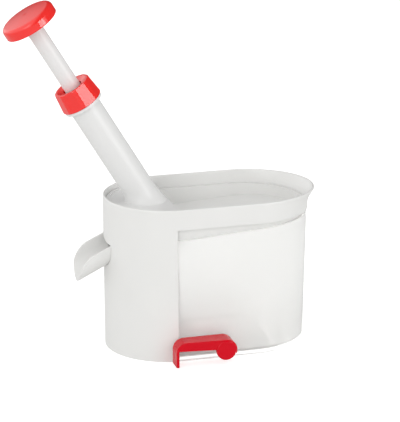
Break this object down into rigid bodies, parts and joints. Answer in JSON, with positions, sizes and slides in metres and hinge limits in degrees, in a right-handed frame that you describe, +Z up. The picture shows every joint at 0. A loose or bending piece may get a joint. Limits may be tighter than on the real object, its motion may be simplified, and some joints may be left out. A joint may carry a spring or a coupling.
{
  "type": "cherry pitter",
  "caption": "Hand cherry pitter: sprung leaning plunger over a sloping hopper seat, side chute, slide-out pit container and a lever-worked suction foot",
  "frame": {"origin": "centre of the suction foot, on the table that the pitter stands on", "axes": "+X along the body towards the pit container, +Y away from the lever, +Z up"},
  "size_m": [0.259, 0.1248, 0.2971],
  "materials": {
    "white_plastic": "smooth moulded, low satin sheen",
    "red_plastic": "glossy moulded",
    "frosted_plastic": "clear moulding with a frosted face",
    "steel": "drawn wire and turned stainless",
    "soft_rubber": "soft matte silicone"
  },
  "bodies": {
    "frame": {"housing": "white_plastic", "hopper_tray": "white_plastic", "top_cover": "white_plastic", "guide_bush": "white_plastic", "cap_nut": "red_plastic", "stripper": "white_plastic", "cherry_seat": "white_plastic", "seat_ring": "soft_rubber", "pit_nozzle": "white_plastic", "chute": "white_plastic", "base_plate": "white_plastic", "vacuum_dome": "white_plastic", "shaft_bushes": "white_plastic", "foot_screws": "steel"},
    "plunger": {"plunger_knob": "red_plastic", "plunger_rod": "white_plastic", "guide_piston": "white_plastic", "plunger_shank": "steel", "pitting_tip": "steel", "return_spring": "steel"},
    "lever_arm": {"lever": "red_plastic", "cam_shaft": "steel", "lift_cam": "white_plastic", "shaft_clip": "steel"},
    "cup_lifter": {"cup_stem": "white_plastic", "suction_cup": "soft_rubber", "release_spring": "steel"},
    "container": {"pit_container": "frosted_plastic"}
  },
  "joints": [
    {"name": "plunger_slide", "type": "slide", "parent": "frame", "child": "plunger", "axis": [0.515, 0, -0.8572], "range_m": [0, 0.055], "stiffness_N_per_m": 120, "springref_m": -0.03, "deforming": ["return_spring"]},
    {"name": "lever_turn", "type": "hinge", "parent": "frame", "child": "lever_arm", "pos_m": [0, -0.0625, 0.0125], "axis": [0, 1, 0], "range_deg": [0, 112]},
    {"name": "cup_lift", "type": "slide", "parent": "frame", "child": "cup_lifter", "axis": [0, 0, 1], "range_m": [-0.0022, 0], "deforming": ["suction_cup", "release_spring"]},
    {"name": "container_slide", "type": "slide", "parent": "frame", "child": "container", "axis": [1, 0, 0], "range_m": [0, 0.13]}
  ],
  "couplings": [
    {"joint": "lever_turn", "follows": "cup_lift", "rad_per_m": -872.66}
  ]
}
